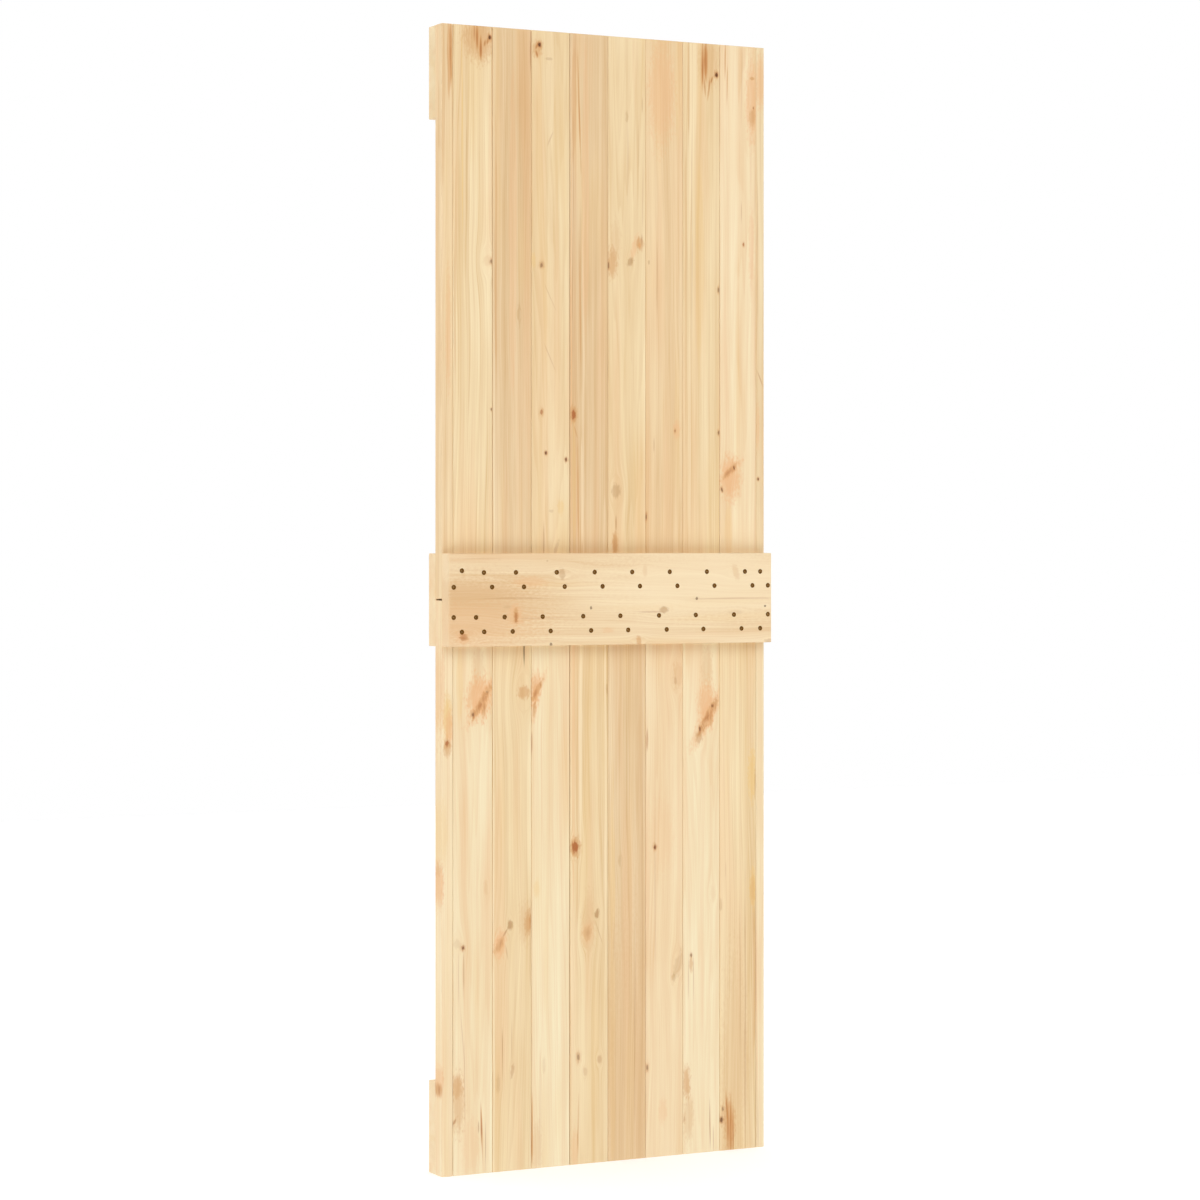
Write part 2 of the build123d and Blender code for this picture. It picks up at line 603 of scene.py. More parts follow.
    def marked(self, tree: Tree, colour: Input, point: Input, grain: Input) -> tuple[Input, Value]:
        """Lays every mark over the wood's ground colour.

        Args:
            tree: the material's tree.
            colour: the ground colour.
            point: place on the piece.
            grain: the same with the grain's bends taken out.

        Returns:
            The colour with all marks, and how much of a knot's hard wood there is.
        """
        across, deep, along = tree.split(point)
        swayed = tree.join(across + self.spread(tree, point, Scale.SWAY, self.sway), deep, along)
        frayed = self.spread(tree, point, Scale.FRAY, self.fray) + 1
        ragged = self.spread(tree, point, Scale.RAG, self.rag) + 1
        wisp = tree.ease(self.waves(tree, grain, Scale.WISP), *self.wisp_span)
        hard: Value = 0.0
        for mark in self.marks:
            fibrous = mark.in_fibre()
            place = (mark.across, 0.0, self.own_along(mark))
            size = (mark.width, self.mark_depth, mark.length)
            away = tree.distance(swayed if fibrous else point, place, size, mark.lean)
            away = away * (ragged if fibrous else frayed)
            for layer in mark.kind.value:
                cover = tree.ease(away, layer.outer, layer.inner) * (layer.share * mark.force)
                if layer.streaky:
                    cover = cover * (wisp * layer.streaky + (1 - layer.streaky))
                colour = tree.blend(colour, to_linear((mark.tint or layer.tint).value), cover)
            if mark.is_hard():
                hard = tree.maths("MAXIMUM", cover, hard)
        return colour, hard


@dataclass(frozen=True)
class SteelFinish:
    """Yellow passivated steel that has gone brown, with fine turning marks; a darker copy of it is partly
    painted shade, a paler copy a painted highlight.
    """

    name: str
    pale: Triple
    deep: Triple
    roughness: float
    cloud_size: Triple = (3.0, 3.0, 3.0)
    cloud_seed: int = 4
    scratch_size: Triple = (0.25, 0.25, 1.5)
    scratch_seed: int = 9
    clouded: float = 1.8
    scratched: float = 0.8
    unpolished: float = 0.3
    bump_strength: float = 0.3
    bump_depth: float = 0.00003

    def build(self) -> bpy.types.Material:
        """Builds the material.

        Returns:
            The steel's material.
        """
        tree = Tree(self.name)
        inputs = {0: tree.place("Object"), 3: (1 / MM,) * 3}
        point = tree.node("ShaderNodeMapping", {}, inputs).outputs[0]
        cloud = tree.noise(point, self.cloud_size, self.cloud_seed, 3) - 0.5
        scratch = tree.noise(point, self.scratch_size, self.scratch_seed, 2)
        patina = cloud * self.clouded + (scratch - 0.5) * self.scratched + 0.5
        return tree.finish({
            "Base Color": tree.blend(to_linear(self.pale), to_linear(self.deep), patina),
            "Metallic": 1.0,
            "Roughness": self.roughness + cloud * self.unpolished,
            "Normal": tree.bump(scratch, self.bump_strength, self.bump_depth),
        })


class Form:
    """A piece in the making, in millimetres, in the door's frame."""

    SNAP = 0.0001
    FACING = 0.99

    def __init__(self) -> None:
        """Starts with nothing."""
        self.mesh = bmesh.new()

    def block(self, low: Vector, high: Vector) -> None:
        """Adds a squared block.

        Args:
            low: its lowest corner.
            high: its highest corner.
        """
        made = bmesh.ops.create_cube(self.mesh, size=1.0)["verts"]
        bmesh.ops.scale(self.mesh, vec=high - low, verts=made)
        bmesh.ops.translate(self.mesh, vec=(low + high) / 2, verts=made)

    def edges(self, test: Callable[[Vector, Vector], bool]) -> Edges:
        """Finds the edges whose two ends pass a test."""
        return [edge for edge in self.mesh.edges if test(edge.verts[0].co, edge.verts[1].co)]

    def faces(self, way: Vector, test: Callable[[Vector], bool]) -> Faces:
        """Finds the faces that look one way and whose middle passes a test.

        Args:
            way: which way they look.
            test: says of a face's middle whether the face counts.

        Returns:
            Those faces.
        """
        self.mesh.normal_update()
        return [face for face in self.mesh.faces
                if face.normal.dot(way) > self.FACING and test(face.calc_center_median())]

    def ease_edges(self, edges: Edges, radius: float, segments: int = 3) -> None:
        """Rounds edges off."""
        bmesh.ops.bevel(self.mesh, geom=edges, offset=radius, offset_type="OFFSET", segments=segments,
                        profile=0.5, affect="EDGES", clamp_overlap=False, material=-1)

    def cut(self, faces: Faces, place: Vector, way: Vector) -> None:
        """Cuts some faces along a plane, and no others.

        Args:
            faces: the faces to cut.
            place: a point of the plane.
            way: which way the plane looks.
        """
        edges = dict.fromkeys(edge for face in faces for edge in face.edges)
        verts = dict.fromkeys(vert for face in faces for vert in face.verts)
        bmesh.ops.bisect_plane(self.mesh, geom=[*faces, *edges, *verts], dist=self.SNAP,
                               plane_co=place, plane_no=way)

    def slices(self, axis: Vector, low: float, high: float, step: float) -> None:
        """Cuts the whole piece across an axis into slices of one length.

        Args:
            axis: the axis.
            low: where the piece begins on it.
            high: where the piece ends on it.
            step: the least length of a slice.
        """
        count = int((high - low) / step)
        length = (high - low) / count
        for number in range(1, count):
            self.cut(self.mesh.faces[:], axis * (low + length * number), axis)

    def push(self, face: bmesh.types.BMFace, shift: Vector, squeeze: Vector) -> None:
        """Pulls a face out, or sinks it, and draws its outline together.

        Args:
            face: the face.
            shift: how far it moves.
            squeeze: how much of its size is left, along each axis.
        """
        centre = face.calc_center_median()
        made = bmesh.ops.extrude_face_region(self.mesh, geom=[face])["geom"]
        bmesh.ops.delete(self.mesh, geom=[face], context="FACES_ONLY")
        verts = [item for item in made if isinstance(item, bmesh.types.BMVert)]
        bmesh.ops.scale(self.mesh, vec=squeeze, space=Matrix.Translation(-centre), verts=verts)
        bmesh.ops.translate(self.mesh, vec=shift, verts=verts)

    def ring(self, centre: Vector, radius: float, segments: int) -> Edges:
        """Adds a circle that faces along Y.

        Args:
            centre: its middle.
            radius: its radius.
            segments: how many sides it has.

        Returns:
            Its edges.
        """
        place = Matrix.Translation(centre) @ Matrix.Rotation(math.radians(90), 4, "X")
        verts = bmesh.ops.create_circle(self.mesh, cap_ends=False, segments=segments, radius=radius,
                                        matrix=place)["verts"]
        return list(dict.fromkeys(edge for vert in verts for edge in vert.link_edges))

    def wall(self, ring: Edges) -> tuple[Verts, Edges]:
        """Pulls a wall of faces out of a ring.

        Args:
            ring: edges of the ring.

        Returns:
            The vertices and edges of the wall's far end, which still lies on the ring.
        """
        made = bmesh.ops.extrude_edge_only(self.mesh, edges=ring)["geom"]
        verts = [item for item in made if isinstance(item, bmesh.types.BMVert)]
        edges = [item for item in made if isinstance(item, bmesh.types.BMEdge)
                 and item.verts[0] in verts and item.verts[1] in verts]
        return verts, edges

    def close_round(self, window: Edges, hole: Edges) -> None:
        """Closes the flat surface between a window and the round hole in it."""
        bmesh.ops.triangle_fill(self.mesh, edges=[*window, *hole], use_beauty=True)

    def piece(self, name: str, finishes: Sequence[bpy.types.Material], slot: Slot, node: str,
              smooth: Optional[float] = None) -> None:
        """Closes the piece and puts it in the scene.

        Args:
            name: the piece's name.
            finishes: its materials, in the order of its faces' numbers.
            slot: the record's slot; not used.
            node: the CAD node that it stands for.
            smooth: angle in degrees above which an edge stays sharp, or None for flat faces.
        """
        bmesh.ops.recalc_face_normals(self.mesh, faces=self.mesh.faces[:])
        bmesh.ops.scale(self.mesh, vec=Vector((MM, MM, MM)), verts=self.mesh.verts[:])
        open_edges = sum(not edge.is_manifold for edge in self.mesh.edges)
        shape = bpy.data.meshes.new(name)
        self.mesh.to_mesh(shape)
        self.mesh.free()
        for finish in finishes:
            shape.materials.append(finish)
        if smooth is not None:
            shape.shade_smooth()
            shape.set_sharp_from_angle(angle=math.radians(smooth))
        made = put(name, shape)
        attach(made, BODY)
        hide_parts(node)
        LOG.info("%s: %d faces, %d open edges", name, len(shape.polygons), open_edges)


class Wander:
    """A slow unevenness along a sawn edge, the same on every run, from 0 to 1."""

    WAVES = ((900.0, 0.5), (420.0, 0.3), (190.0, 0.2))
    SPREAD = (0.6, 1.4)

    def __init__(self, seed: int) -> None:
        """Draws a few long waves.

        Args:
            seed: seed of the draw.
        """
        dice = random.Random(seed)
        self.waves = [(dice.uniform(*self.SPREAD) * length, dice.uniform(0, math.tau), share)
                      for length, share in self.WAVES]

    def at(self, place: float) -> float:
        """Gives the unevenness at a place in millimetres."""
        return sum(share * (0.5 + 0.5 * math.sin(math.tau * place / length + start))
                   for length, start, share in self.waves)


def node_box(node: str) -> tuple[Vector, Vector]:
    """Gives a CAD node's lowest and highest corner in millimetres."""
    low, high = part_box(node)
    return low / MM, high / MM


def middle_of(low: Vector, high: Vector) -> Triple:
    """Gives the middle of a box."""
    return tuple((low + high) / 2)


@dataclass(frozen=True)
class BoardLook:
    """What makes one board differ from the next.

    Gap is the width of the joint on its right, in mm, and figure says how strongly the grain shows.
    """

    name: str
    tone: Tone
    sawn: Sawn
    marks: tuple[Mark, ...]
    gap: float
    figure: float = 1.0


@dataclass
class BoardSet:
    """The ten upright boards of one half of the panel: two ripped strips and eight whole boards.

    At mid height the strips end strips_rise higher than their nodes and the whole boards
    boards_drop lower, so that the butt gap is open at the sides and lets no light through.
    """

    FINISH_SEEDS = 17
    EDGE_SEEDS = 100

    half: str
    looks: tuple[BoardLook, ...]
    seed: int
    drawn_gap: float = 0.5
    arris: float = 1.3
    ripped_arris: float = 0.8
    end_arris: float = 0.6
    tongue_reach: float = 8.0
    tongue_root: float = 8.0
    tongue_tip: float = 7.0
    groove_depth: float = 9.0
    groove_ease: float = 0.2
    slice_step: float = 70.0
    waver: float = 0.16
    sink: float = 0.18
    strips_rise: float = 0.0
    boards_drop: float = 0.0

    def build(self) -> None:
        """Builds and dresses every board of the half."""
        for number, look in enumerate(self.looks):
            node = f"{self.half}_{look.name}"
            low, high = node_box(node)
            groove = number > 0
            tongue = number < len(self.looks) - 1
            low.z += -self.boards_drop if groove and tongue else self.strips_rise
            if tongue:
                high.x -= self.tongue_reach
            left = (self.looks[number - 1].gap - self.drawn_gap if groove else self.waver) / 2
            right = (look.gap - self.drawn_gap if tongue else self.waver) / 2
            form = self.blank(low, high, groove, tongue)
            self.weather(form, low, high, left, right, number)
            finish = PineFinish(f"pine_{node}", look.tone, look.sawn, self.seed + self.FINISH_SEEDS * number,
                                middle_of(low, high), (high.z - low.z) / 2, False, look.marks,
                                look.figure)
            form.piece(f"{node}_pine", [finish.build()], Slot.BOARD, node)

    def blank(self, low: Vector, high: Vector, groove: bool, tongue: bool) -> Form:
        """Machines one board: arrises, tongue on the right, groove on the left, eased ends.

        Args:
            low: lowest corner, without the tongue.
            high: highest corner, without the tongue.
            groove: whether its left side has a groove.
            tongue: whether its right side has a tongue.

        Returns:
            The board as it leaves the machine.
        """
        form = Form()
        form.block(low, high)
        for side, planed in ((low.x, groove), (high.x, tongue)):
            upright = form.edges(lambda a, b: near(a.x - side, b.x - side) and abs(a.z - b.z) > 1)
            form.ease_edges(upright, self.arris if planed else self.ripped_arris)
        middle = (low.y + high.y) / 2
        if tongue:
            squeeze = self.tongue_tip / self.tongue_root
            self.work_side(form, Vector((1, 0, 0)), high.x, middle, self.tongue_root,
                           self.tongue_reach, squeeze)
        if groove:
            mouth = self.tongue_root + 2 * self.groove_ease
            squeeze = (self.tongue_tip + 2 * self.groove_ease) / mouth
            self.work_side(form, Vector((-1, 0, 0)), low.x, middle, mouth, -self.groove_depth, squeeze)
        for level in (low.z, high.z):
            end = form.edges(lambda a, b: near(a.z - level, b.z - level)
                             and min(abs(a.y - middle), abs(b.y - middle)) > self.tongue_root)
            form.ease_edges(end, self.end_arris, 2)
        return form

    def work_side(self, form: Form, way: Vector, side: float, middle: float, root: float,
                  reach: float, squeeze: float) -> None:
        """Pulls a tongue out of a side of the board, or sinks a groove into it, open at both ends.

        Args:
            form: the board.
            way: which way the side looks.
            side: where it lies.
            middle: depth of the middle of the board.
            root: height of the tongue or groove at the side.
            reach: how far the tongue stands out, or less than 0 for a groove.
            squeeze: how much narrower it is at its far end.
        """
        for edge in (middle - root / 2, middle + root / 2):
            faces = form.faces(way, lambda centre: near(centre.x - side))
            form.cut(faces, Vector((0, edge, 0)), Vector((0, 1, 0)))
        band = form.faces(way, lambda centre: near(centre.x - side) and abs(centre.y - middle) < 1)
        form.push(band[0], way * reach, Vector((1, squeeze, 1)))
        ends = form.edges(lambda a, b: near(a.x - side, b.x - side, a.z - b.z)
                          and max(abs(a.y - middle), abs(b.y - middle)) < root / 2 + TOUCH)
        bmesh.ops.dissolve_edges(form.mesh, edges=ends, use_verts=False)

    def weather(self, form: Form, low: Vector, high: Vector, left: float, right: float,
                number: int) -> None:
        """Lets a board shrink unevenly, as it does once it has left the machine.

        Args:
            form: the board.
            low: its lowest corner, without the tongue.
            high: its highest corner, without the tongue.
            left: how far its left side gives way on average.
            right: how far its right side gives way on average.
            number: the board's number in the half.
        """
        form.slices(Vector((0, 0, 1)), low.z, high.z, self.slice_step)
        seed = self.seed + self.EDGE_SEEDS * number
        left_side, right_side, front = Wander(seed), Wander(seed + 1), Wander(seed + 2)
        middle = (low + high) / 2
        half = (high - low) / 2
        for vert in form.mesh.verts:
            share = max(-1.0, min(1.0, (vert.co.x - middle.x) / half.x))
            give = ((left + self.waver * (left_side.at(vert.co.z) - 0.5)) * (1 - share) / 2
                    - (right + self.waver * (right_side.at(vert.co.z) - 0.5)) * (1 + share) / 2)
            depth = (middle.y - vert.co.y) / half.y
            vert.co.x += give
            vert.co.y += depth * self.sink * front.at(vert.co.z)


@dataclass
class Rail:
    """One rail across the door, its grain lying level."""

    node: str
    tone: Tone
    sawn: Sawn
    seed: int
    marks: tuple[Mark, ...] = ()
    figure: float = 0.6
    arris: float = 1.5
    slice_step: float = 85.0
    waver: float = 0.25

    def build(self) -> None:
        """Builds and dresses the rail."""
        low, high = node_box(self.node)
        form = Form()
        form.block(low, high)
        form.ease_edges(form.mesh.edges[:], self.arris)
        self.work(form, low, high)
        finish = PineFinish(f"pine_{self.node}", self.tone, self.sawn, self.seed, middle_of(low, high),
                            (high.x - low.x) / 2, True, self.marks, self.figure)
        form.piece(f"{self.node}_pine", [finish.build()], Slot.RAIL, self.node)

    def work(self, form: Form, low: Vector, high: Vector) -> None:
        """Lets the long edges of the plank run a little unevenly, inwards only.

        Args:
            form: the rail.
            low: its lowest corner.
            high: its highest corner.
        """
        form.slices(Vector((1, 0, 0)), low.x, high.x, self.slice_step)
        top, bottom = Wander(self.seed), Wander(self.seed + 1)
        middle = (low + high) / 2
        half = (high - low) / 2
        for vert in form.mesh.verts:
            share = (vert.co.z - middle.z) / half.z
            edge = top if share > 0 else bottom
            vert.co.z -= share * self.waver * edge.at(vert.co.x)


@dataclass
class ScrewedRail(Rail):
    """The middle rail on the face with the screws, its holes drilled through and countersunk."""

    screw_nodes: tuple[str, ...] = ()
    mouth_radius: float = 5.0
    bore_radius: float = 2.35
    cell: float = 5.6
    segments: int = 24

    def work(self, form: Form, low: Vector, high: Vector) -> None:
        """Drills every hole.

        Args:
            form: the rail.
            low: its lowest corner.
            high: its highest corner.
        """
        places = [place for node in self.screw_nodes for place in screw_places(node)]
        rows = self.rows(places)
        sides = ((Vector((0, -1, 0)), low.y), (Vector((0, 1, 0)), high.y))
        for way, level in sides:
            for edge in (edge for row in rows for edge in row):
                faces = form.faces(way, lambda centre: near(centre.y - level))
                form.cut(faces, Vector((0, 0, edge)), Vector((0, 0, 1)))
        for place in places:
            row = next(row for row in rows if row[0] < place.z < row[1])
            front, back = [self.open_cell(form, way, level, place, row) for way, level in sides]
            self.drill(form, place, front, back, low.y, high.y)

    def rows(self, places: list[Vector]) -> list[Pair]:
        """Sorts the screws into rows.

        Args:
            places: where the screws go in.

        Returns:
            The lower and the upper edge of each row's band.
        """
        rows: list[list[float]] = []
        for height in sorted(place.z for place in places):
            if rows and height - rows[-1][-1] < self.cell:
                rows[-1].append(height)
            else:
                rows.append([height])
        return [(row[0] - self.cell, row[-1] + self.cell) for row in rows]

    def open_cell(self, form: Form, way: Vector, level: float, place: Vector,
                  row: Pair) -> Edges:
        """Cuts a small window for one hole out of a face.

        Args:
            form: the rail.
            way: which way the face looks.
            level: where the face lies.
            place: where the screw goes in.
            row: lower and upper edge of the screw's row.

        Returns:
            The four edges round the window.
        """
        bottom, top = row
        for edge in (place.x - self.cell, place.x + self.cell):
            band = form.faces(way, lambda centre: near(centre.y - level) and bottom < centre.z < top)
            form.cut(band, Vector((edge, 0, 0)), Vector((1, 0, 0)))
        window = form.faces(way, lambda centre: near(centre.y - level) and bottom < centre.z < top
                            and abs(centre.x - place.x) < self.cell)[0]
        edges = list(window.edges)
        bmesh.ops.delete(form.mesh, geom=[window], context="FACES_ONLY")
        return edges

    def drill(self, form: Form, place: Vector, front: Edges, back: Edges, front_level: float,
              back_level: float) -> None:
        """Puts a countersunk bore between two windows.

        Args:
            form: the rail.
            place: where the screw goes in.
            front: edges of the window in the front.
            back: edges of the window in the back.
            front_level: depth of the front.
            back_level: depth of the back.
        """
        mouth_at = Vector((place.x, front_level, place.z))
        mouth = form.ring(mouth_at, self.mouth_radius, self.segments)
        form.close_round(front, mouth)
        verts, throat = form.wall(mouth)
        share = self.bore_radius / self.mouth_radius
        bmesh.ops.scale(form.mesh, vec=(share, 1, share), space=Matrix.Translation(-mouth_at), verts=verts)
        bmesh.ops.translate(form.mesh, vec=(0, self.mouth_radius - self.bore_radius, 0), verts=verts)
        outlet = form.ring(Vector((place.x, back_level, place.z)), self.bore_radius, self.segments)
        bmesh.ops.bridge_loops(form.mesh, edges=[*throat, *outlet])
        form.close_round(back, outlet)


def islands(shape: bmesh.types.BMesh) -> list[Verts]:
    """Finds the separate parts of a mesh.

    Args:
        shape: the mesh.

    Returns:
        The vertices of each part.
    """
    seen: set[int] = set()
    found = []
    for start in shape.verts:
        if start.index in seen:
            continue
        seen.add(start.index)
        island = [start]
        for vert in island:
            others = [edge.other_vert(vert) for edge in vert.link_edges]
            fresh = [other for other in others if other.index not in seen]
            seen.update(other.index for other in fresh)
            island.extend(fresh)
        found.append(island)
    return found


def screw_places(node: str) -> list[Vector]:
    """Reads from a CAD node where its screws' heads lie.

    Args:
        node: the CAD node that holds the screws.

    Returns:
        The middle of each head in millimetres, from left to right.
    """
    shape = bmesh.new()
    shape.from_mesh(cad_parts[node].data)
    bmesh.ops.remove_doubles(shape, verts=shape.verts[:], dist=0.00001)
    shape.verts.index_update()
    places = []
    for island in islands(shape):
        spots = [vert.co / MM for vert in island]
        head = min(spot.y for spot in spots)
        across = (min(spot.x for spot in spots) + max(spot.x for spot in spots)) / 2
        height = (min(spot.z for spot in spots) + max(spot.z for spot in spots)) / 2
        places.append(Vector((round(across, 2), head, round(height, 2))))
    shape.free()
    return sorted(places, key=lambda place: (place.x, place.z))


# The head and the rest of the screw get dark brown steel, partly the steel's own brown and partly painted
# shade of the countersink.
RIM_BROWN_AND_SHADE_STEEL = SteelFinish("screw_rim_brown_and_shade_steel", (136.0, 94.0, 40.0), (88.0, 58.0, 22.0), 0.45)
# The cross recess gets a paler copy of the steel: a painted highlight in the hollow.
RECESS_HIGHLIGHT_STEEL = SteelFinish("screw_recess_highlight_steel", (212.0, 186.0, 140.0), (170.0, 142.0, 98.0), 0.4)


@dataclass
class ScrewSet:
    """The countersunk cross head screws of one half of the door."""

    node: str
    seed: int
    head_radius: float = 4.4
    shank_radius: float = 2.25
    rim_height: float = 0.25
    length: float = 70.0
    tip_length: float = 6.0
    tip_share: float = 0.2
    recess_radius: float = 2.5
    recess_depth: float = 2.2
    recess_waist: float = 0.42
    recess_curve: float = 1.5
    recess_floor: float = 0.45
    segments: int = 24
    smooth: float = 35.0

    def build(self) -> None:
        """Builds and dresses the screws."""
        pattern = self.one_screw()
        dice = random.Random(self.seed)
        form = Form()
        for place in screw_places(self.node):
            start = len(form.mesh.verts)
            form.mesh.from_mesh(pattern)
            turn = Matrix.Rotation(dice.uniform(0, math.tau), 4, "Y")
            form.mesh.verts.ensure_lookup_table()
            bmesh.ops.transform(form.mesh, matrix=Matrix.Translation(place) @ turn,
                                verts=form.mesh.verts[start:])
        bpy.data.meshes.remove(pattern)
        finishes = [RIM_BROWN_AND_SHADE_STEEL.build(), RECESS_HIGHLIGHT_STEEL.build()]
        form.piece(f"{self.node}_steel", finishes, Slot.SCREW, self.node, self.smooth)

    def one_screw(self) -> bpy.types.Mesh:
        """Turns one screw with the middle of its head at the origin and its tip along +Y.

        Returns:
            The screw's mesh in millimetres.
        """
        form = Form()
        rim = form.ring(Vector((0, 0, 0)), self.head_radius, self.segments)
        cone = self.head_radius - self.shank_radius
        steps = ((self.head_radius, self.rim_height),
                 (self.shank_radius, self.rim_height + cone),
                 (self.shank_radius, self.length - self.tip_length),
                 (self.shank_radius * self.tip_share, self.length))
        loop = rim
        for radius, depth in steps:
            verts, loop = form.wall(loop)
            for vert in verts:
                reach = math.hypot(vert.co.x, vert.co.z)
                vert.co = Vector((vert.co.x * radius / reach, depth, vert.co.z * radius / reach))
        bmesh.ops.contextual_create(form.mesh, geom=loop)
        top = bmesh.ops.contextual_create(form.mesh, geom=rim)["faces"]
        bmesh.ops.recalc_face_normals(form.mesh, faces=form.mesh.faces[:])
        self.cut_recess(form, top[0])
        shape = bpy.data.meshes.new(f"{self.node}_pattern")
        form.mesh.to_mesh(shape)
        form.mesh.free()
        return shape

    def cut_recess(self, form: Form, top: bmesh.types.BMFace) -> None:
        """Presses the cross recess into the head.

        Args:
            form: the screw.
            top: the flat of its head.
        """
        bmesh.ops.inset_region(form.mesh, faces=[top], thickness=self.head_radius - self.recess_radius,
                               use_even_offset=True)
        for vert in top.verts:
            angle = math.atan2(vert.co.z, vert.co.x)
            arm = abs(math.cos(2 * angle)) ** self.recess_curve
            reach = self.recess_radius * (self.recess_waist + (1 - self.recess_waist) * arm)
            vert.co = Vector((reach * math.cos(angle), 0, reach * math.sin(angle)))
        before = set(form.mesh.faces)
        form.push(top, Vector((0, self.recess_depth, 0)), Vector((self.recess_floor, 1, self.recess_floor)))
        for face in form.mesh.faces:
            if face not in before:
                # The recess faces take the paler steel, a painted highlight.
                face.material_index = 1


@dataclass
class Studio:
    """A plain pale floor, soft light and the photograph's point of view.

    Box_power is the light from wide soft boxes all round, which stand from box_start to box_end
    above the horizon and as far below it, as sines, with borders that are soft by start_blur and
    end_blur. The rest of the surroundings give dim_share of it.
    """

    camera_place: Triple = (-3.009, -5.719, -0.8631)
    camera_turn: float = -27.87
    lens: float = 103.14
    sensor: float = 36.0
    sight: float = 100.0
    shift_down: float = 0.0466
    box_power: float = 1.69
    box_start: float = 0.24
    start_blur: float = 0.08
    box_end: float = 0.78
    end_blur: float = 0.12
    dim_share: float = 0.05
    key_place: Triple = (-5.6, -6.2, -0.7)
    back_place: Triple = (5.2, 6.4, -0.2)
    lamp_power: float = 12.0
    lamp_size: float = 4.0
    floor_span: float = 16.0
    floor_albedo: float = 0.9
    floor_glow: float = 0.27

    def build(self) -> None:
        """Sets up camera, light, world and floor."""
        self.camera()
        self.world()
        self.lamp("key", Vector(self.key_place))
        self.lamp("back", Vector(self.back_place))
        self.floor()
        bpy.context.scene.view_settings.view_transform = "Standard"

    def camera(self) -> None:
        """Puts the camera where the photograph was taken from."""
        data = bpy.data.cameras.new("photo_view")
        data.sensor_width = self.sensor
        data.lens = self.lens
        data.shift_y = -self.shift_down
        data.clip_end = self.sight
        camera = put("photo_view", data)
        camera.location = self.camera_place
        camera.rotation_euler = (math.radians(90), 0.0, math.radians(self.camera_turn))
        bpy.context.scene.camera = camera

    def lamp(self, name: str, place: Vector) -> None:
        """Hangs a large soft box that looks at the middle of the door.

        Args:
            name: the lamp's name.
            place: where it hangs, in metres.
        """
        data = bpy.data.lights.new(name, "AREA")
        data.shape = "SQUARE"
        data.size = self.lamp_size
        data.energy = self.lamp_power
        lamp = put(name, data)
        target = (cad_box[0] + cad_box[1]) / 2
        lamp.location = place
        lamp.rotation_euler = (target - place).to_track_quat("-Z", "Y").to_euler()

    def world(self) -> None:
        """Makes the surroundings white to look at, with their light in two wide bands."""
        tree = Tree("studio", world=True)
        height = tree.maths("ABSOLUTE", tree.split(tree.place("Generated"))[2])
        start = tree.ease(height, self.box_start - self.start_blur, self.box_start + self.start_blur)
        end = tree.ease(height, self.box_end + self.end_blur, self.box_end - self.end_blur)
        light = start * (end * (1 - self.dim_share) + self.dim_share) * self.box_power
        look = tree.any_look()
        strength = light * (1 - look) + look
        shader = tree.node("ShaderNodeBackground", {}, {0: (1.0, 1.0, 1.0, 1.0), 1: strength})
        tree.node("ShaderNodeOutputWorld", {}, {0: shader.outputs[0]})
        bpy.context.scene.world = tree.owner

    def floor(self) -> None:
        """Lays a plain pale floor that is white to the eye and keeps the door's shadow.

        It lets the soft boxes below it shine on the door, in place of the light that it would
        throw back.
        """
        shape = bpy.data.meshes.new("floor")
        sheet = bmesh.new()
        bmesh.ops.create_grid(sheet, x_segments=1, y_segments=1, size=self.floor_span / 2)
        bmesh.ops.translate(sheet, vec=(0, 0, cad_box[0].z), verts=sheet.verts[:])
        sheet.to_mesh(shape)
        sheet.free()
        shape.materials.append(self.floor_finish())
        floor = put("floor", shape)
        floor.visible_diffuse = False
        floor.visible_shadow = False

    def floor_finish(self) -> bpy.types.Material:
        """Builds the floor's material, which is clear from below.

        Returns:
            The material.
        """
        tree = Tree("pale_floor")
        pale = tree.node("ShaderNodeBsdfDiffuse", {}, {0: (self.floor_albedo,) * 3 + (1.0,)})
        light = tree.node("ShaderNodeEmission", {}, {1: tree.any_look() * self.floor_glow})
        lit = tree.node("ShaderNodeAddShader", {}, {0: pale.outputs[0], 1: light.outputs[0]})
        clear = tree.node("ShaderNodeBsdfTransparent", {}, {})
        side = tree.node("ShaderNodeNewGeometry", {}, {}).outputs["Backfacing"]
        both = tree.node("ShaderNodeMixShader", {}, {0: side, 1: lit.outputs[0], 2: clear.outputs[0]})
        tree.node("ShaderNodeOutputMaterial", {}, {0: both.outputs[0]})
        return tree.owner


KNOT, EYE, SPIKE, SMUDGE, GLOW, STREAK, BAND, LINE = Blemish
MILK, PEACH, GOLD, FLAME, TAWNY, EARTH, AMBER, RUST, BARK = Tint

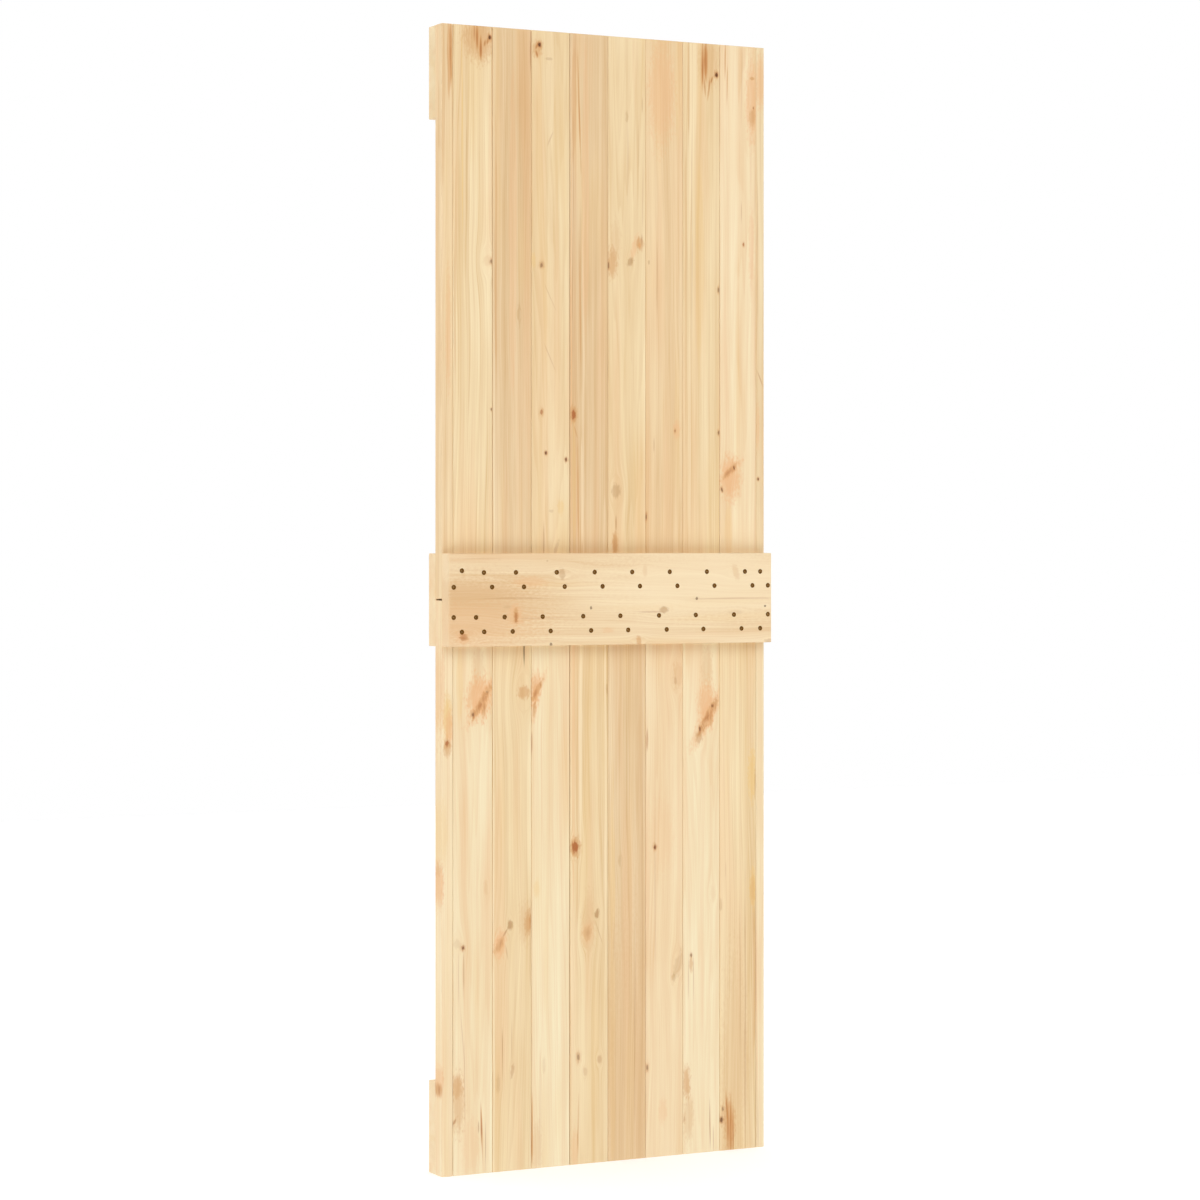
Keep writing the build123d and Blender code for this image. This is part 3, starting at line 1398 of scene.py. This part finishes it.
UPPER_LOOKS = (
    BoardLook("left_strip", Tone.HONEY, Sawn.QUARTER_LEFT, (
        BAND(-8, -60, 3, 170, 0.6), BAND(3, 20, 4, 75, 0.8, AMBER), STREAK(6.6, 38, 2.6, 66, 1.4),
        GLOW(2, -480, 6, 130, 0.5),
    ), 0.35),
    BoardLook("board_1", Tone.STRAW, Sawn.RIFT_LEFT, (
        GLOW(14, 62, 36, 46, 0.72, AMBER), STREAK(4, 70, 2.4, 18, 0.9), STREAK(9, 64, 3.2, 26, 1.3),
        STREAK(16.5, 44, 3, 25, 1.3), STREAK(25, 54, 2.8, 8, 0.9, lean=14),
        STREAK(31, 58, 2.6, 7, 0.9, lean=18), EYE(34.5, 65, 2.8, 3.6), BAND(-22, -110, 2, 190, 0.8, GOLD),
        LINE(-13, -190, 1, 150, 0.35), BAND(-36, -380, 2.5, 210, 0.7), SMUDGE(30, -344, 8, 10, 0.3, AMBER),
        EYE(37.5, -345, 2.2, 3.6, 0.5), EYE(38, -616, 1.5, 2.4, 0.6),
    ), 0.65),
    BoardLook("board_2", Tone.TAN, Sawn.QUARTER_RIGHT, (
        BAND(2, -300, 9, 330, 0.45, PEACH), BAND(32, -180, 6, 420, 0.3),
        # BAND(-37, -800, ..., MILK) is a painted highlight: a pale line along the board's left arris, as if
        # light fell on it.
        BAND(-33, -330, 3, 260, 0.5, AMBER), BAND(-37, -800, 1.4, 420, 1.1, MILK),
        SMUDGE(15, -440, 3, 22, 0.35), LINE(38.5, 45, 2.4, 44, 0.9),
    ), 0.4, 0.65),
    BoardLook("board_3", Tone.STRAW, Sawn.FLAT, (
        BAND(0, -520, 8, 420, 0.7, MILK), BAND(0, 0, 9, 130, 0.5, MILK), GLOW(-29, 50, 11, 18, 0.65, AMBER),
        STREAK(-29.5, 56, 2.4, 8, 1.0, lean=26), STREAK(-29.5, 42, 2.4, 8, 1.0, lean=-20),
        EYE(-23, 59, 3, 3.8), SMUDGE(-3, 34, 7, 2.6, 0.5), LINE(0, -113, 1.6, 15, 0.35, lean=24),
        GLOW(-36, -340, 6, 16, 0.6, GOLD), EYE(-19, -348, 3, 4, 0.55),
        LINE(-2, -405, 1.3, 28, 0.28, lean=-26), LINE(-2, -517, 1.5, 30, 0.3, lean=-25),
        KNOT(-19, -619, 2.9, 5, 0.8), EYE(-10, -695, 1.9, 2.6, 0.9), EYE(32, -706, 2, 3.2, 0.9),
        GLOW(21, -794, 8, 16, 0.6, GOLD), SMUDGE(1, -802, 5, 2.6, 0.4), LINE(-15, -858, 1.8, 32, 0.7),
        SMUDGE(11, -872, 3.5, 15, 0.5, lean=20),
    ), 0.8, 0.55),
    BoardLook("board_4", Tone.TAN, Sawn.QUARTER_LEFT, (
        BAND(-30, -400, 5, 900, 0.3, AMBER), BAND(-31, -40, 6, 118, 0.45, AMBER),
        BAND(-37, -500, 1.4, 420, 0.8, PEACH), BAND(-12, -600, 3, 420, 0.7, MILK),
        BAND(-7, -200, 8, 300, 0.45, PEACH), BAND(28, -330, 4, 330, 0.3), BAND(33, -850, 4, 80, 0.5, MILK),
        LINE(-20, -55, 1.7, 125, 1.1, AMBER, -2), LINE(-18, -300, 1.4, 75, 0.25),
        LINE(-17.5, -440, 1.6, 130, 1.0, AMBER), BAND(-31, -745, 4.5, 140, 0.5, GOLD),
        LINE(-27, -655, 1.4, 13, 0.8, AMBER, -18), LINE(-23, -772, 1.8, 118, 1.0, AMBER),
        BAND(-15, -770, 2.6, 120, 0.8, MILK), LINE(-33, -330, 1.4, 300, 0.35),
        KNOT(-32.5, -622, 4.8, 9, 1.15),
    ), 0.42, 0.6),
    BoardLook("board_5", Tone.STRAW, Sawn.FLAT, (
        SMUDGE(0, -64, 2.4, 9, 0.6), LINE(33, -40, 1.2, 15, 0.4), LINE(2, -150, 1.4, 80, 0.3),
        LINE(24, -125, 1.2, 60, 0.3), LINE(34, -215, 1.2, 70, 0.3), GLOW(-24, -300, 13, 46, 0.4, TAWNY),
        GLOW(16, -308, 7, 28, 0.6, lean=15), GLOW(28, -300, 8.5, 15, 0.8, AMBER),
        GLOW(27, -303, 3, 6, 0.5, FLAME), LINE(32.5, -292, 1.6, 12, 0.6),
        SMUDGE(7, -335, 5, 8, 1.1, lean=30), GLOW(-31, -338, 12, 32, 0.7, AMBER),
        EYE(-38.5, -343, 1.4, 5.5, 0.5), SMUDGE(-23, -764, 9, 12, 0.75), LINE(-23, -824, 1.4, 16, 0.8),
        GLOW(-25, -862, 7, 24, 0.85, AMBER), STREAK(-25, -864, 4, 22, 0.25),
    ), 0.1, 0.6),
    BoardLook("board_6", Tone.HONEY, Sawn.RIFT_RIGHT, (
        GLOW(-6, -15, 32, 110, 0.65), BAND(31, 10, 8, 120, 0.3, GOLD), BAND(36, -420, 4, 420, 0.5, MILK),
        SMUDGE(-33, -334, 2, 4, 0.7), LINE(-15.6, -367, 1.2, 75, 0.6), GLOW(27, -648, 9, 20, 0.7),
        KNOT(23, -650, 1.6, 3.4, 0.8), LINE(-22, -677, 1.2, 15, 0.5), EYE(-38.5, -811, 1.1, 5, 0.7),
    ), 0.25, 0.5),
    BoardLook("board_7", Tone.STRAW, Sawn.QUARTER_RIGHT, (
        GLOW(16, 48, 24, 52, 0.34, AMBER), BAND(-27, -10, 2.4, 100, 1.0), BAND(-33, -380, 3, 280, 0.6),
        BAND(-25, -650, 3, 260, 0.7, MILK), BAND(-3, -330, 9, 220, 0.4, GOLD),
        LINE(-20, -300, 1.2, 220, 0.35), STREAK(3.5, 45, 3.4, 50, 1.2), STREAK(10, 52, 4.4, 44, 1.5),
        STREAK(8, 3, 2, 20, 1.0, lean=-4), STREAK(17, 1, 2.2, 25, 1.1, lean=6),
        STREAK(23, 17, 2.6, 9, 1.0, lean=20), EYE(33, 27, 3, 3.8), EYE(38, -381, 2.3, 4.6, 0.5),
        EYE(38, -652, 1.8, 3.4, 0.6),
    ), 0.45, 0.8),
    BoardLook("board_8", Tone.CREAM, Sawn.FLAT, (
        BAND(-8, -150, 12, 330, 0.6, MILK), GLOW(31, -20, 15, 90, 0.8), GLOW(32, -50, 8, 20, 0.7, AMBER),
        SMUDGE(31, 25, 5, 3, 1.0, AMBER), KNOT(34, -31, 1.2, 2, 0.8), LINE(-28, 55, 1.8, 38, 1.1, AMBER),
        LINE(-23, 8, 1.4, 38, 0.9, AMBER), LINE(9, 20, 1.2, 70, 0.35), GLOW(30, -300, 7, 90, 0.5),
        LINE(8, -232, 1.2, 22, 0.5), KNOT(12.5, -292, 1.8, 3.6, 0.9), GLOW(-16, -738, 25, 48, 1.0),
        SPIKE(-19.5, -726, 5.5, 23, 0.75, lean=49), EYE(-8.5, -718, 1.6, 3.8, 0.7, lean=-20),
        EYE(-35, -760, 1.6, 4, 0.7, lean=-20), BAND(-20, -840, 10, 60, 0.4, GOLD),
    ), 0.1, 0.6),
    BoardLook("right_strip", Tone.WHEAT, Sawn.QUARTER_LEFT, (
        GLOW(1, 20, 12, 58, 0.8), LINE(-6.5, -300, 1.4, 160, 0.4), LINE(0.5, -549, 1.6, 18, 0.5, lean=-22),
        GLOW(-5, -640, 4, 56, 0.5), EYE(-4, -739, 1.6, 2.4, 0.9),
    ), 0.3, 0.7),
)

LOWER_LOOKS = (
    BoardLook("left_strip", Tone.CREAM, Sawn.QUARTER_RIGHT, (
        GLOW(0, -1180, 11, 46, 0.9, GOLD), GLOW(4, -1200, 10, 36, 0.8), GLOW(-9, -1130, 5, 90, 0.5),
        GLOW(0, -1236, 9, 17, 1.0, TAWNY), KNOT(-0.6, -1226, 3.6, 5, 1.0),
        GLOW(-8, -1390, 9, 66, 0.4, GOLD), GLOW(-14, -1485, 8, 44, 0.9),
        GLOW(-14, -1456, 5, 14, 0.4, AMBER), GLOW(-14, -1836, 8, 26, 0.7), STREAK(-14, -1858, 6, 16, 1.15),
    ), 0.6, 0.7),
    BoardLook("board_1", Tone.IVORY, Sawn.FLAT, (
        BAND(-26, -1120, 7, 80, 0.5, GOLD), GLOW(12, -1090, 14, 46, 0.5, TAWNY),
        GLOW(14, -1143, 29, 44, 1.1), SPIKE(19, -1152, 7, 34, 1.1, lean=32),
        SPIKE(23, -1165, 4, 16, 0.7, lean=10), EYE(0.6, -1175, 2.6, 3.4, 0.65),
        EYE(29, -1134, 2.6, 2.4, 0.25), SMUDGE(27, -1492, 4, 12, 0.25, AMBER),
        SMUDGE(-32, -1592, 7, 8, 0.3), EYE(-19.6, -1600, 2.5, 3.6, 0.8), LINE(-17.6, -1646, 1.6, 42, 0.6),
        LINE(-28, -1655, 1.3, 60, 0.35), LINE(-20, -1770, 1.2, 60, 0.35, lean=-5),
        LINE(-16, -1850, 1.3, 90, 0.35), GLOW(-33, -1852, 13, 26, 0.75, AMBER),
        GLOW(-29, -1885, 13, 60, 0.8, TAWNY), KNOT(-36.5, -1916, 2, 6, 0.6, lean=30),
        GLOW(-4, -1965, 18, 60, 0.3), STREAK(18.5, -1943, 2.6, 56, 1.0, lean=-2),
        LINE(26, -1962, 1.3, 44, 0.6), LINE(12, -1930, 1.6, 12, 0.6),
    ), 0.5, 0.45),
    BoardLook("board_2", Tone.STRAW, Sawn.RIFT_LEFT, (
        # BAND(-37, -1500, ..., MILK) is a painted highlight: a pale line along the board's left arris, as if
        # light fell on it.
        BAND(-37, -1500, 1.4, 700, 1.1, MILK), LINE(25, -1064, 2, 26, 1.0, BARK),
        SMUDGE(25, -1136, 12, 11, 1.0, AMBER), GLOW(-25, -1598, 12, 30, 0.8),
        SPIKE(-26, -1599, 6.5, 16, 0.7, lean=28), LINE(-13, -1577, 1.8, 10, 0.7, lean=34),
        SMUDGE(-4, -1563, 4.8, 8, 1.25), GLOW(27, -1560, 14, 46, 0.5, TAWNY),
        GLOW(33, -1562, 8, 24, 0.8, AMBER), STREAK(37, -1562, 1.6, 20, 0.7),
        LINE(-10, -1612, 1.4, 15, 0.4, lean=-10), LINE(38, -1600, 1.2, 90, 0.5),
        LINE(-20, -1795, 1.3, 44, 0.6), LINE(-1, -1780, 1.2, 40, 0.4),
        SMUDGE(1, -1832, 3.4, 12, 0.6, RUST, 8), SMUDGE(-28, -1852, 4, 14, 0.45),
    ), 0.55, 0.6),
    BoardLook("board_3", Tone.IVORY, Sawn.RIFT_RIGHT, (
        GLOW(-31, -1130, 11, 36, 1.0), GLOW(-32, -1134, 10, 24, 0.35, AMBER),
        SPIKE(-29, -1135, 5, 25, 1.1, lean=28), SPIKE(-34, -1168, 3, 16, 0.8, lean=5),
        LINE(-38.7, -1230, 1.4, 22, 0.6), GLOW(-29, -1500, 7, 18, 0.5, GOLD),
        SMUDGE(-14, -1826, 3, 14, 0.25), BAND(-21, -1900, 3, 130, 0.35),
        GLOW(-29, -1975, 13, 50, 0.28, AMBER), STREAK(-38, -1945, 2.2, 70, 1.0),
    ), 1.2, 0.5),
    BoardLook("board_4", Tone.STRAW, Sawn.QUARTER_LEFT, (
        BAND(-33, -1260, 3.5, 330, 0.45, PEACH), BAND(-33, -1700, 5, 230, 0.4, MILK),
        BAND(-25, -1330, 2, 330, 0.35, AMBER), BAND(-18, -1240, 3.4, 220, 0.9, MILK),
        BAND(35, -1280, 2.6, 420, 0.9, MILK), SMUDGE(38, -1133, 1.8, 12, 0.6),
        GLOW(-29, -1428, 10, 20, 0.6, AMBER), KNOT(-29, -1425, 6.8, 10.5, 1.15),
        GLOW(-1, -1565, 15, 64, 0.45, TAWNY), SPIKE(-3, -1587, 9, 14, 0.45, lean=12),
        SMUDGE(16.5, -1552, 4.4, 8, 1.35, lean=15), LINE(22, -1588, 1.3, 24, 0.35, lean=-19),
        EYE(-22.5, -1816, 3, 6.4, 0.45), SMUDGE(22, -1823, 5, 7, 0.6, RUST),
        SMUDGE(-8, -1844, 4, 7, 0.35, RUST), STREAK(-23.5, -1948, 1.8, 66, 0.8),
        GLOW(-30, -1985, 8, 44, 0.5),
    ), 0.35, 0.6),
    BoardLook("board_5", Tone.TAN, Sawn.QUARTER_RIGHT, (
        BAND(-30, -1700, 6, 460, 0.4, GOLD), BAND(27, -1700, 11, 640, 0.4),
        GLOW(0, -1960, 60, 420, 0.4, TAWNY), LINE(33, -1450, 1.3, 420, 0.25),
        LINE(17, -1760, 1.3, 260, 0.4), LINE(-27, -1610, 1.2, 44, 0.4), SMUDGE(-14, -1455, 3, 10, 0.3),
    ), 0.4, 0.8),
    BoardLook("board_6", Tone.CREAM, Sawn.RIFT_LEFT, (
        LINE(-37.5, -1231, 2.4, 22, 0.9), SMUDGE(30, -1110, 11, 22, 0.4, AMBER),
        SMUDGE(24, -1120, 3, 7, 0.45, RUST), GLOW(-6, -1412, 28, 80, 0.25), EYE(-20, -1433, 2.1, 3.6),
        LINE(-20, -1500, 1.1, 170, 0.35), SMUDGE(31, -1655, 8, 28, 0.4, lean=22),
        SMUDGE(20, -1680, 4.5, 7, 0.45), EYE(-37, -1846, 1.8, 5, 0.5), GLOW(-3, -1930, 10, 28, 0.4),
    ), 0.4, 0.45),
    BoardLook("board_7", Tone.IVORY, Sawn.FLAT, (
        GLOW(12, -1100, 14, 44, 0.5, TAWNY), GLOW(10, -1166, 20, 48, 1.0),
        SPIKE(15, -1190, 8, 42, 1.1, lean=31), SPIKE(21, -1194, 3.4, 16, 0.8),
        SMUDGE(-5, -1228, 7, 12, 0.6), EYE(-3, -1213, 2.3, 4, 0.7), EYE(24, -1170, 2.3, 3.2, 0.6),
        SMUDGE(25, -1525, 5, 14, 0.2, AMBER), GLOW(-22, -1656, 5, 18, 0.7, AMBER),
        EYE(-22, -1640, 1.8, 3.2, 0.55), LINE(-27, -1682, 1.2, 46, 0.4), LINE(-16, -1685, 1.2, 48, 0.45),
        GLOW(-32, -1880, 9, 36, 0.78, AMBER), GLOW(-28, -1945, 12, 50, 0.6, TAWNY),
        KNOT(-37, -1948, 1.6, 6, 0.4), LINE(19, -1965, 1.5, 52, 0.8), LINE(26, -1990, 1.1, 28, 0.5),
    ), 0.4, 0.45),
    BoardLook("board_8", Tone.STRAW, Sawn.RIFT_RIGHT, (
        GLOW(31, -1304, 10, 58, 1.1, GOLD), GLOW(33, -1520, 8, 40, 1.1, GOLD),
        GLOW(33, -1522, 6, 28, 0.35, AMBER), GLOW(-8, -1830, 30, 220, 0.4, TAWNY),
        LINE(38, -1320, 1.2, 40, 0.6), LINE(16, -1800, 2, 300, 0.5), LINE(5, -1700, 1.2, 170, 0.4),
        BAND(36.5, -1690, 3.4, 150, 0.6, AMBER), SMUDGE(-38, -1548, 3, 12, 0.5),
        LINE(-26, -1482, 1.1, 15, 0.3), GLOW(-19, -1966, 14, 50, 0.7, AMBER),
        STREAK(-25.5, -1928, 2.2, 34, 1.2, lean=-4), STREAK(-21.5, -1972, 1.8, 56, 1.3),
        STREAK(-16, -1976, 3.2, 62, 1.5), STREAK(-10.5, -1982, 1.8, 54, 1.2), EYE(-36, -1956, 2.8, 5, 0.85),
        EYE(-33, -1936, 1.8, 4, 0.5),
    ), 0.55, 0.8),
    BoardLook("right_strip", Tone.IVORY, Sawn.QUARTER_LEFT, (
        BAND(-7, -1750, 1.6, 200, 0.5, PEACH), LINE(-5, -1970, 1.2, 60, 0.4),
    ), 0.3, 0.6),
)

FRONT_RAIL_MARKS = (
    GLOW(15, -350, 75, 260, 0.6, TAWNY), GLOW(-14, -335, 24, 170, 0.55, TAWNY),
    GLOW(50, -320, 50, 180, 0.4, PEACH), GLOW(-30, 210, 75, 280, 0.8, MILK),
    GLOW(0, -345, 200, 9, 0.5, MILK), GLOW(-32, -174, 12, 40, 0.5), LINE(-3, -205, 1.8, 70, 0.35),
    LINE(1, 255, 1.8, 95, 0.4), LINE(-76, -270, 1.4, 50, 0.25), LINE(34, -150, 1.4, 60, 0.25),
    LINE(24, 78, 2, 32, 0.45), SMUDGE(-71, -139, 2, 2, 0.5), SMUDGE(-47, -108, 10, 6, 0.7, lean=-10),
    SMUDGE(-52, 66, 11, 4.5, 0.45, TAWNY), SMUDGE(-49, 262, 15, 6, 0.6, TAWNY, -18),
    GLOW(28, -204, 24, 16, 0.6), SMUDGE(30, -203, 13, 4.4, 1.2, AMBER), SMUDGE(33, -203, 8, 2.4, 1.0, RUST),
    SMUDGE(13, -221, 2.6, 8, 0.3), SMUDGE(16, -48, 3, 2.2, 1.2, BARK), SMUDGE(21, 106, 5.5, 9, 1.0),
    SMUDGE(0.5, 177, 3, 2.4, 1.25, BARK), SMUDGE(27, 260, 4, 15, 0.3),
    SMUDGE(16, 326, 1.8, 2.2, 1.25, BARK), SPIKE(67, -310, 8, 8, 1.0), SMUDGE(68, -310, 6, 6.5, 0.7, RUST),
    SMUDGE(82.5, -131, 2.8, 2.6, 1.25, BARK), SMUDGE(78, 53, 9, 5, 0.9, AMBER, -12),
    GLOW(58, -12, 6, 15, 0.4), SMUDGE(82, 335, 4, 10, 0.6),
)


def rails() -> list[Rail]:
    """Lists the door's rails.

    Returns:
        The four rails, with the screwed one last.
    """
    return [
        Rail("top_rail", Tone.WHEAT, Sawn.FLAT, 501),
        Rail("bottom_rail", Tone.CREAM, Sawn.RIFT_LEFT, 522),
        Rail("middle_rail_back", Tone.CREAM, Sawn.FLAT, 543),
        ScrewedRail("middle_rail_front", Tone.BISCUIT, Sawn.RIFT_LEFT, 564, FRONT_RAIL_MARKS,
                    screw_nodes=("upper_screws", "lower_screws")),
    ]


def main() -> None:
    """Builds the studio, the boards, the rails and the screws."""
    logging.basicConfig(level=logging.INFO, format="%(message)s")
    Studio().build()
    BoardSet("upper", UPPER_LOOKS, seed=11, strips_rise=1.2, boards_drop=1.6).build()
    BoardSet("lower", LOWER_LOOKS, seed=307).build()
    for rail in rails():
        rail.build()
    ScrewSet("upper_screws", seed=71).build()
    ScrewSet("lower_screws", seed=72).build()


if __name__ == "__main__":
    main()
